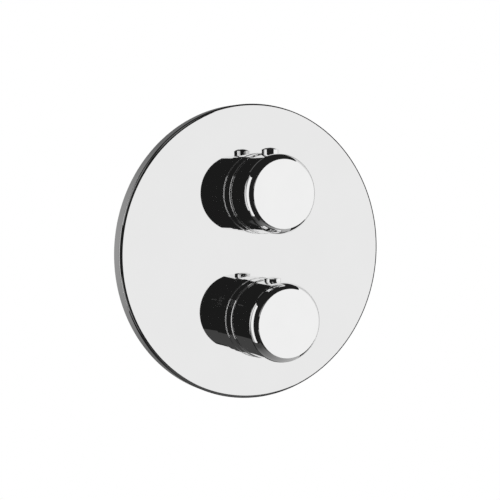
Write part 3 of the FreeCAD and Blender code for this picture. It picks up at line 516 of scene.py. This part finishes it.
def faceplate():
    """Dished plate with two holes and a front edge that falls off in a shallow arc. Each half of its flat
    face is a fan of straight rays from the hole's circle to the half's border: the rim's arc and the line
    between the holes."""
    low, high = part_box("faceplate")
    rim = (high.x - low.x) / 2
    front, back = low.y, high.y
    holes_z = (centre_of("flow_handle").z, centre_of("temperature_handle").z)
    middle_z = sum(holes_z) / 2
    arc_radius = (plate_edge_width ** 2 + plate_edge_depth ** 2) / (2 * plate_edge_depth)
    bend = asin(plate_edge_width / arc_radius)
    rows = outline([(0, front, 0),
                    (rim - plate_edge_width + arc_radius * tan(bend / 2), front,
                     arc_radius - 2 * fine_edge),
                    (rim, front + plate_edge_depth, fine_edge), (rim, back, fine_edge),
                    (rim - plate_wall, back, fine_edge), (rim - plate_wall, front + plate_wall, 0),
                    (0, front + plate_wall, 0)])
    flat_radius = rows[1][0][0, 0]
    rise = np.arcsin(middle_z / flat_radius)
    # Angles from straight up, clockwise: the upper half's arc and the lower half's.
    half = pi / 2 - rise
    upper_arc = np.linspace(-half, half, plate_arc_columns + 1)
    lower_arc = np.linspace(half, 2 * pi - half, plate_arc_columns + 1)
    around = np.concatenate([upper_arc, lower_arc[1:]])
    sheets = [turned(rows[1:6], around, 0, 0)]
    rings = {}
    for depth, radius, way in ((front, flat_radius, -1), (front + plate_wall, rim - plate_wall, 1)):
        for arc, hole_z, side in ((upper_arc, holes_z[0], 1), (lower_arc, holes_z[1], -1)):
            border = np.stack([radius * np.sin(arc), radius * np.cos(arc)], 1)
            share = np.linspace(0, 1, plate_line_columns + 1)[1:, None]
            border = np.concatenate([border, border[-1] * (1 - share) + border[0] * share])
            rays = border - [0, hole_z]
            circle = [0, hole_z] + plate_hole_radius * rays / np.linalg.norm(rays, axis=1, keepdims=True)
            flat = np.stack([circle, border])
            points = np.insert(flat, 1, depth, axis=-1)
            sheets.append((points, np.broadcast_to([0.0, way, 0.0], points.shape), None))
            rings[side, way] = points[0]
    for side, hole_z in ((1, holes_z[0]), (-1, holes_z[1])):
        points = np.stack([rings[side, -1], rings[side, 1]])
        inward = points * [-1, 0, -1] + [0, 0, hole_z]
        sheets.append((points, inward / np.linalg.norm(inward, axis=-1, keepdims=True), None))
    place_piece(solid("faceplate_shell", sheets), "valve", "faceplate", "plate chrome")


def collar(name, replaced, edge):
    """Fixed ring between plate and handle, with a foot ring and a spigot through the plate."""
    low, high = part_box(replaced)
    centre = centre_of(replaced)
    plate_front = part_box("faceplate")[0].y
    foot_radius = (high.x - low.x) / 2
    foot_front = plate_front - collar_foot_height
    spigot_radius = plate_hole_radius - spigot_gap
    rows = outline([(collar_bore, low.y, fine_edge), (collar_radius, low.y, edge),
                    (collar_radius, foot_front, fine_edge), (foot_radius, foot_front, collar_foot_edge),
                    (foot_radius, plate_front, 0), (spigot_radius, plate_front, 0),
                    (spigot_radius, high.y, fine_edge), (collar_bore, high.y, fine_edge)])
    sheet = turned(rows + rows[:1], full_turn(collar_columns), centre.x, centre.z)
    place_piece(solid(name, [sheet]), "valve", replaced, "chrome")


def handle(name, replaced, button, body):
    """Round handle: a hollow turned shell with a bevelled, slightly bulged band round its flat face, and
    holes for the button and the grub screw."""
    low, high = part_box(replaced)
    axis_z = centre_of(replaced).z
    radius = (high.x - low.x) / 2
    front, back = low.y, high.y
    back_radius = radius - handle_flare
    cavity = radius - handle_wall
    band_start = front + band_depth
    face_radius = radius - band_width
    band = bulged((radius, band_start), (face_radius, front), band_bulge, band_steps)
    rows = outline([(cavity, back, fine_edge), (back_radius, back, handle_edge_radius),
                    (radius, band_start, fine_edge), *band, (face_radius, front, fine_edge), (0, front, 0),
                    (0, front + handle_front_wall, 0), (cavity, front + handle_front_wall, fine_edge)])
    side_back, side_front = rows[1][0][-1], rows[2][0][0]
    slope = (side_front[0] - side_back[0]) / (side_front[1] - side_back[1])
    lean = rows[2][1][0]
    side = BoredSide(radius, centre_of(button).y, button_radius + button_gap, grub_radius + button_gap,
                     side_front[1], side_back[1])
    outside, outer_rings = side.sheet(lambda depth: side_back[0] + slope * (depth - side_back[1]),
                                      lean, axis_z)
    inner_back, inner_front = rows[0][0][0], rows[-1][0][-1]
    side.depths[0], side.depths[-1] = inner_front[1], inner_back[1]
    inside, inner_rings = side.sheet(lambda depth: cavity + 0 * depth, (-1.0, 0.0), axis_z)
    sheets = [outside, inside, turned(rows[:2], side.angles, 0, axis_z),
              turned(rows[2:], side.angles, 0, axis_z)]
    for ring_outside, ring_inside in zip(outer_rings, inner_rings):
        sheets.append(hole_wall(ring_outside, ring_inside, side.depth))
    place_piece(solid(name, sheets), body, replaced, "chrome")


def stop_button(name, replaced, handle_node, body, button_dome):
    """Button with a domed top, a flange inside the handle and a pocket for its spring."""
    low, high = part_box(replaced)
    centre = centre_of(replaced)
    axis_z = centre_of(handle_node).z
    flange_radius = (high.x - low.x) / 2
    bottom, top = low.z - axis_z, high.z - axis_z
    flange_top = bottom + button_flange_thickness
    side_top = top - button_dome
    dome_radius = (button_radius ** 2 + button_dome ** 2) / (2 * button_dome)
    bulge = dome_radius * (1 - cos(asin(button_radius / dome_radius) / 2))
    dome = bulged((button_radius, side_top), (0, top), -bulge, dome_steps)
    rows = outline([(button_pocket_radius, bottom, 0), (flange_radius, bottom, fine_edge),
                    (flange_radius, flange_top, fine_edge), (button_radius, flange_top, fine_edge),
                    (button_radius, side_top, fine_edge), *dome, (0, top, 0),
                    (0, bottom + button_pocket_depth, 0),
                    (button_pocket_radius, bottom + button_pocket_depth, fine_edge)])
    sheet = upright(turned(rows + rows[:1], full_turn(button_columns), centre.x, 0), centre.y, axis_z)
    place_piece(solid(name, [sheet]), body, replaced, "chrome")


faceplate()
collar("upper_collar_ring", "upper_collar", upper_collar_edge)
collar("lower_collar_ring", "lower_collar", lower_collar_edge)
handle("flow_handle_shell", "flow_handle", "flow_button", "flow_handle")
handle("temperature_handle_shell", "temperature_handle", "temperature_button", "temperature_handle")
stop_button("flow_stop_button", "flow_button", "flow_handle", "flow_button", flow_button_dome)
stop_button("temperature_stop_button", "temperature_button", "temperature_handle", "temperature_button",
            temperature_button_dome)


# Dial marks

def ring_line(centre, reach, start, end):
    """Centre line of a stroke, in mm: centre plus reach times cosine and sine of an angle in degrees."""
    angle = np.radians(np.linspace(start, end, stroke_points))
    return np.stack([centre[0] + reach[0] * np.cos(angle), centre[1] + reach[1] * np.sin(angle)], 1)


def stroke(line, depth, radius_at, axis_z):
    """Sheets of a flat raised line on the left side of a control. The line is in mm. Its first coordinate
    runs forward from the given depth and the second one upward round the side. Four corners stand across
    the line at each of its points: half the width each way, from below the surface to just above it."""
    along = np.gradient(line, axis=0)
    if np.allclose(line[0], line[-1]):
        along[0] = along[-1] = line[1] - line[-2]
    along /= np.linalg.norm(along, axis=1, keepdims=True)
    across = np.stack([-along[:, 1], along[:, 0]], 1)
    low, high = -mark_sink, mark_rise
    corners = ((-1, low), (-1, high), (-1, high), (1, high), (1, high), (1, low), (1, low), (-1, low))
    facings = ((-1, 0), (-1, 0), (0, 1), (0, 1), (1, 0), (1, 0), (0, -1), (0, -1))

    def placed(flat, rise):
        depths = depth - flat[:, 0]
        radius = radius_at(depths)
        turn = mark_turn + flat[:, 1] / radius
        raised = radius + rise
        return np.stack([raised * np.sin(turn), depths, axis_z + raised * np.cos(turn)], 1)

    points = np.stack([placed(line * MM + side * across * mark_width / 2, rise)
                       for side, rise in corners], 1)
    turn = mark_turn + line[:, 1] * MM / radius_at(depth)
    outward = np.stack([np.sin(turn), 0 * turn, np.cos(turn)], 1)
    upward = np.stack([np.cos(turn), 0 * turn, -np.sin(turn)], 1)
    sideways = across[:, :1] * np.array([0.0, -1.0, 0.0]) + across[:, 1:] * upward
    ways = np.stack([side * sideways + rise * outward for side, rise in facings], 1)
    sheets = [(points, ways, None)]
    if not np.allclose(line[0], line[-1]):
        for end, sign in ((0, -1), (-1, 1)):
            tip = points[end][[0, 1, 5, 3]].reshape(2, 2, 3)
            facing = sign * (along[end, 0] * np.array([0.0, -1.0, 0.0]) + along[end, 1] * upward[end])
            sheets.append((tip, np.broadcast_to(facing, tip.shape), None))
    return sheets


def dial_marks():
    """The number 38 on the lower collar, where the temperature's stop is, and the handle's pointer line."""
    collar_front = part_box("lower_collar")[0].y
    foot_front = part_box("faceplate")[0].y - collar_foot_height
    middle = (collar_front + foot_front) / 2
    sheets = []
    for ellipse in number_strokes:
        sheets += stroke(ring_line(*ellipse), middle, lambda depth: collar_radius + 0 * depth,
                         centre_of("lower_collar").z)
    number = solid("temperature_number", sheets)

    low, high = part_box("temperature_handle")
    radius = (high.x - low.x) / 2
    band_start = low.y + band_depth
    lean = handle_flare / (high.y - band_start)
    line = np.stack([np.linspace(tick_start, tick_end, tick_points) / MM, np.zeros(tick_points)], 1)
    sheets = stroke(line, high.y, lambda depth: radius - lean * (depth - band_start),
                    centre_of("temperature_handle").z)
    pointer = solid("temperature_pointer", sheets)
    for piece, body in ((number, "valve"), (pointer, "temperature_handle")):
        piece.data.materials.append(MATERIALS["dial mark"])
        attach(piece, body)


dial_marks()


# Studio

BLACK = 0.015
stage_distance = 6.0
halo_distance = 0.97 * stage_distance
card_columns = 33
card_rows = 17
flat_card_points = 5
ring_card_columns = 128
wall_elevations = (-60, 38)
halo_tilts = (31, 50)
halo_glow = (0.4, 0.14)
ambient_strength = 0.75


def card_light(name, brightness, fade):
    """Material that shows one brightness, or fades between two along an axis from one place to another."""
    made = bpy.data.materials.new(name)
    made.use_nodes = True
    tree = made.node_tree
    tree.nodes.clear()
    glow = node(tree, "ShaderNodeEmission")
    tree.links.new(glow.outputs[0], node(tree, "ShaderNodeOutputMaterial").inputs["Surface"])
    if fade is None:
        glow.inputs["Color"].default_value = (*grey(brightness), 1)
        return made
    axis, start, end = fade
    glow.inputs["Color"].default_value = (1, 1, 1, 1)
    parts = node(tree, "ShaderNodeSeparateXYZ")
    tree.links.new(node(tree, "ShaderNodeTexCoord").outputs["Object"], parts.inputs[0])
    level = node(tree, "ShaderNodeMapRange")
    tree.links.new(parts.outputs[axis], level.inputs["Value"])
    level.inputs["From Min"].default_value = start
    level.inputs["From Max"].default_value = end
    level.inputs["To Min"].default_value = brightness[0]
    level.inputs["To Max"].default_value = brightness[1]
    tree.links.new(level.outputs["Result"], glow.inputs["Strength"])
    return made


def seen_directly(tree):
    """1 for camera, glossy and transmission rays, and 0 for the rest."""
    path = node(tree, "ShaderNodeLightPath")
    total = node(tree, "ShaderNodeMath", operation="ADD")
    tree.links.new(path.outputs["Is Camera Ray"], total.inputs[0])
    tree.links.new(path.outputs["Is Glossy Ray"], total.inputs[1])
    both = node(tree, "ShaderNodeMath", operation="ADD", use_clamp=True)
    tree.links.new(total.outputs[0], both.inputs[0])
    tree.links.new(path.outputs["Is Transmission Ray"], both.inputs[1])
    return both.outputs[0]


def stage_card(name, points, brightness, fade):
    """Card for the mirror surfaces alone, from a grid of points."""
    rows, columns = points.shape[:2]
    index = np.arange(rows * columns).reshape(rows, columns)
    faces = np.stack([index[:-1, :-1], index[:-1, 1:], index[1:, 1:], index[1:, :-1]], -1).reshape(-1, 4)
    mesh = bpy.data.meshes.new(name)
    mesh.from_pydata(points.reshape(-1, 3).tolist(), [], faces.tolist())
    mesh.materials.append(card_light(name, brightness, fade))
    piece = bpy.data.objects.new(name, mesh)
    bpy.context.scene.collection.objects.link(piece)
    piece.visible_camera = False
    piece.visible_diffuse = False
    piece.visible_shadow = False
    piece.visible_transmission = False


def card(name, azimuths, elevations, brightness, fade=None):
    """Curved card round the object: a patch of a sphere between two azimuths and two elevations, in
    degrees, with azimuth 0 in front and +90 on the right."""
    azimuth, elevation = np.meshgrid(np.radians(np.linspace(*azimuths, card_columns)),
                                     np.radians(np.linspace(*elevations, card_rows)))
    directions = np.stack([np.sin(azimuth) * np.cos(elevation), -np.cos(azimuth) * np.cos(elevation),
                           np.sin(elevation)], -1)
    stage_card(name, stage_distance * directions, brightness, fade)


def halo_card(name, tilts, turns, brightness, fade=None):
    """Curved card between two tilts from straight ahead and two turns from straight up, in degrees. It
    stands before the other curved cards."""
    tilt, turn = np.meshgrid(np.radians(np.linspace(*tilts, card_rows)),
                             np.radians(np.linspace(*turns, card_columns)))
    directions = np.stack([np.sin(tilt) * np.sin(turn), -np.cos(tilt), np.sin(tilt) * np.cos(turn)], -1)
    stage_card(name, halo_distance * directions, brightness, fade)


def flat_card(name, corner, across, along, brightness, fade=None):
    """Flat card from a corner, with two sides as vectors."""
    corner, across, along = (np.array(v, float) for v in (corner, across, along))
    steps = np.linspace(0, 1, flat_card_points)
    points = corner + steps[:, None, None] * across + steps[None, :, None] * along
    stage_card(name, points, brightness, fade)


def ring_card(name, radius, front, back, brightness):
    """Card bent to a ring round the plate's axis."""
    angles = full_turn(ring_card_columns)
    points = np.stack([radius * np.sin(angles), 0 * angles, radius * np.cos(angles)], -1)
    stage_card(name, np.stack([points + [0, depth, 0] for depth in (front, back)]), brightness, None)


card("front_card", (-50, 20.3), wall_elevations, BLACK)
card("overhead_card", (-180, 180), (38, 90), BLACK)
card("right_card", (95, 140), wall_elevations, 0.75)
card("back_card", (140, 248), wall_elevations, (0.42, 0.15), ("X", -3.2, 0.3))
halo_card("upper_halo_card", halo_tilts, (-74, 10), halo_glow, ("Z", 0.0, 3.6))
halo_card("lower_halo_card", halo_tilts, (-170, -110), halo_glow, ("Z", 0.0, -3.6))
flat_card("left_flag", (-0.085, -0.103, -0.125), (0, 0.058, 0), (0, 0, 0.265), BLACK)
ring_card("rim_flag", 0.095, -0.011, -0.003, BLACK)
flat_card("under_card", (-0.45, -0.5, -0.5), (0.9, 0, 0), (0, 1.0, 0), (0.06, 0.45), ("X", -0.3, 0.3))
flat_card("under_front_card", (-0.3, -0.95, -0.495), (0.75, 0, 0), (0, 0.72, 0), 0.07)
flat_card("under_left_card", (-0.7, -0.7, -0.49), (0.58, 0, 0), (0, 0.4, 0), BLACK)
flat_card("under_right_card", (0.45, -0.3, -0.49), (0.6, 0, 0), (0, 0.6, 0), BLACK)

def background(tree, strength):
    """White light of this strength from all round."""
    made = node(tree, "ShaderNodeBackground")
    made.inputs["Color"].default_value = (1, 1, 1, 1)
    made.inputs["Strength"].default_value = strength
    return made.outputs[0]


world = bpy.data.worlds.new("studio")
bpy.context.scene.world = world
world.use_nodes = True
world_tree = world.node_tree
world_tree.nodes.clear()
choice = node(world_tree, "ShaderNodeMixShader")
world_tree.links.new(seen_directly(world_tree), choice.inputs["Fac"])
world_tree.links.new(background(world_tree, ambient_strength), choice.inputs[1])
world_tree.links.new(background(world_tree, 1.0), choice.inputs[2])
world_tree.links.new(choice.outputs[0], node(world_tree, "ShaderNodeOutputWorld").inputs["Surface"])


def softbox(name, azimuth, elevation, distance, size, power):
    """Square area lamp that faces the origin, unseen in mirrors."""
    lamp = bpy.data.lights.new(name, "AREA")
    lamp.size = size
    lamp.energy = power
    made = bpy.data.objects.new(name, lamp)
    a, e = radians(azimuth), radians(elevation)
    place = distance * Vector((sin(a) * cos(e), -cos(a) * cos(e), sin(e)))
    made.location = place
    made.rotation_euler = (-place).to_track_quat("-Z", "Y").to_euler()
    made.visible_glossy = False
    bpy.context.scene.collection.objects.link(made)


softbox("key_lamp", azimuth=-40, elevation=45, distance=1.4, size=0.9, power=6.0)
softbox("rear_lamp", azimuth=150, elevation=40, distance=1.4, size=0.9, power=5.0)

# Camera, from where the photograph was taken: angles in degrees, lengths by the plate's radius

photo_size = 500
plate_radius = 0.09
camera_azimuth = -28.911
camera_elevation = 4.119
camera_roll = -0.742
camera_distance = 7.25 * plate_radius
camera_focal_pixels = 1055.01
camera_offset = (-0.00222 * plate_radius, 0.00734 * plate_radius)
sensor_width = 36.0
nearest_shown = 0.01


def photo_camera():
    """Camera on its line of sight, moved sideways and up by the offset and rolled about that line."""
    a, e, roll = radians(camera_azimuth), radians(camera_elevation), radians(camera_roll)
    back = Vector((sin(a) * cos(e), -cos(a) * cos(e), sin(e)))
    right = Vector((cos(a), sin(a), 0))
    up = back.cross(right)
    place = right * camera_offset[0] + up * camera_offset[1] + back * camera_distance
    across = right * cos(roll) + up * sin(roll)
    above = up * cos(roll) - right * sin(roll)
    lens = bpy.data.cameras.new("photo_camera")
    lens.sensor_width = sensor_width
    lens.lens = camera_focal_pixels / photo_size * lens.sensor_width
    lens.clip_start = nearest_shown
    made = bpy.data.objects.new("photo_camera", lens)
    made.matrix_world = Matrix((across, above, back)).transposed().to_4x4()
    made.location = place
    bpy.context.scene.collection.objects.link(made)
    bpy.context.scene.camera = made


photo_camera()

bpy.context.scene.view_settings.view_transform = "Standard"
